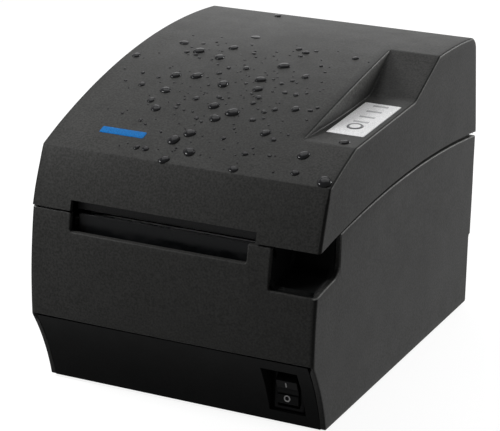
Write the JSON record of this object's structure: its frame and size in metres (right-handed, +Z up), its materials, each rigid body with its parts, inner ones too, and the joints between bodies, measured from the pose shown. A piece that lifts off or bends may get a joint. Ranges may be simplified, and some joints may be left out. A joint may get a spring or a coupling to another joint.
{
  "type": "receipt printer",
  "caption": "Desktop thermal receipt printer with hinged lid, front paper slot, automatic cutter, operator panel and power rocker.",
  "frame": {"origin": "bottom centre of the housing, on the table under the rubber feet", "axes": "+X to the right seen from the front, +Y to the back, +Z up"},
  "size_m": [0.145, 0.193, 0.144],
  "materials": {
    "charcoal": "fine spark-eroded texture, satin",
    "kick_plastic": "fine texture, matt",
    "black_plastic": "matt",
    "gloss_black": "polished",
    "switch_black": "semi gloss",
    "button_grey": "satin",
    "overlay_grey": "satin film",
    "window_grey": "smoked light pipe",
    "blue_inlay": "printed inlay",
    "white_plastic": "acetal",
    "rubber": "ground rubber",
    "steel": "zinc plated",
    "dark_steel": "black powder coat",
    "motor_steel": "drawn can",
    "aluminium": "extruded",
    "brass": "sintered bronze",
    "board": "solder mask",
    "ribbon": "polyimide"
  },
  "bodies": {
    "case": {"main_case": "charcoal", "base_tray": "kick_plastic", "rubber_feet": "rubber", "bottom_screws": "steel", "rear_panel": "dark_steel", "dc_inlet": "black_plastic", "usb_port": "steel", "serial_port": "steel", "drawer_port": "black_plastic", "main_board": "board", "board_parts": "black_plastic", "board_screws": "steel", "roll_chassis": "black_plastic", "chassis_screws": "steel", "paper_guide_bar": "steel", "mechanism_frame": "steel", "cutter_plate": "steel", "cutter_motor": "motor_steel", "exit_guide": "gloss_black", "head_pivot_pin": "steel", "head_springs": "steel", "feed_motor": "motor_steel", "idler_pin": "steel", "hinge_pins": "steel", "power_switch_body": "switch_black", "head_ribbon": "ribbon", "cover_switch": "black_plastic"},
    "lid": {"lid_shell": "charcoal", "lid_badge": "blue_inlay", "lid_inner_cover": "black_plastic", "platen_carrier": "steel", "fixed_blade": "steel", "lid_screws": "steel", "panel_overlay": "overlay_grey", "light_pipes": "window_grey", "panel_board": "board", "panel_screws": "steel", "platen_bearings": "brass"},
    "platen": {"platen_shaft": "steel", "platen_rubber": "rubber", "platen_gear": "white_plastic"},
    "idler": {"idler_gear": "white_plastic"},
    "feed_pinion": {"motor_pinion": "brass"},
    "rocker": {"power_rocker": "switch_black"},
    "button": {"feed_button": "button_grey"},
    "print_head": {"head_heat_sink": "aluminium", "thermal_strip": "gloss_black"},
    "blade": {"moving_blade": "steel"},
    "blade_pinion": {"cutter_pinion": "white_plastic"}
  },
  "joints": [
    {"name": "lid_hinge", "type": "hinge", "parent": "case", "child": "lid", "pos_m": [0, 0.0907, 0.07952], "axis": [-1, 0, 0], "range_deg": [0, 95]},
    {"name": "platen_spin", "type": "hinge", "parent": "lid", "child": "platen", "pos_m": [-0.006, -0.0625, 0.088], "axis": [1, 0, 0], "continuous": true},
    {"name": "idler_spin", "type": "hinge", "parent": "case", "child": "idler", "pos_m": [0.0425, -0.06356, 0.06891], "axis": [1, 0, 0], "continuous": true},
    {"name": "feed_pinion_spin", "type": "hinge", "parent": "case", "child": "feed_pinion", "pos_m": [0.0425, -0.06076, 0.05303], "axis": [1, 0, 0], "continuous": true},
    {"name": "power_rocker", "type": "hinge", "parent": "case", "child": "rocker", "pos_m": [0.0534, -0.0776, 0.0185], "axis": [-1, 0, 0], "range_deg": [0, 20]},
    {"name": "feed_button_push", "type": "slide", "parent": "lid", "child": "button", "axis": [0, 0.0424, -0.9991], "range_m": [0, 0.0006], "stiffness_N_per_m": 400},
    {"name": "print_head_lift", "type": "hinge", "parent": "case", "child": "print_head", "pos_m": [-0.006, -0.049, 0.0715], "axis": [1, 0, 0], "range_deg": [0, 3], "stiffness_Nm_per_rad": 0.6, "springref_deg": -5.73, "deforming": ["head_springs"]},
    {"name": "cutter_stroke", "type": "slide", "parent": "case", "child": "blade", "axis": [0, 0, 1], "range_m": [0, 0.006]},
    {"name": "cutter_pinion_spin", "type": "hinge", "parent": "case", "child": "blade_pinion", "pos_m": [-0.03, -0.0795, 0.0515], "axis": [0, 1, 0], "range_deg": [0, 86.04]}
  ],
  "couplings": [
    {"joint": "idler_spin", "follows": "platen_spin", "ratio": -0.72727},
    {"joint": "feed_pinion_spin", "follows": "platen_spin", "ratio": 1.6},
    {"joint": "cutter_pinion_spin", "follows": "cutter_stroke", "rad_per_m": 250}
  ]
}
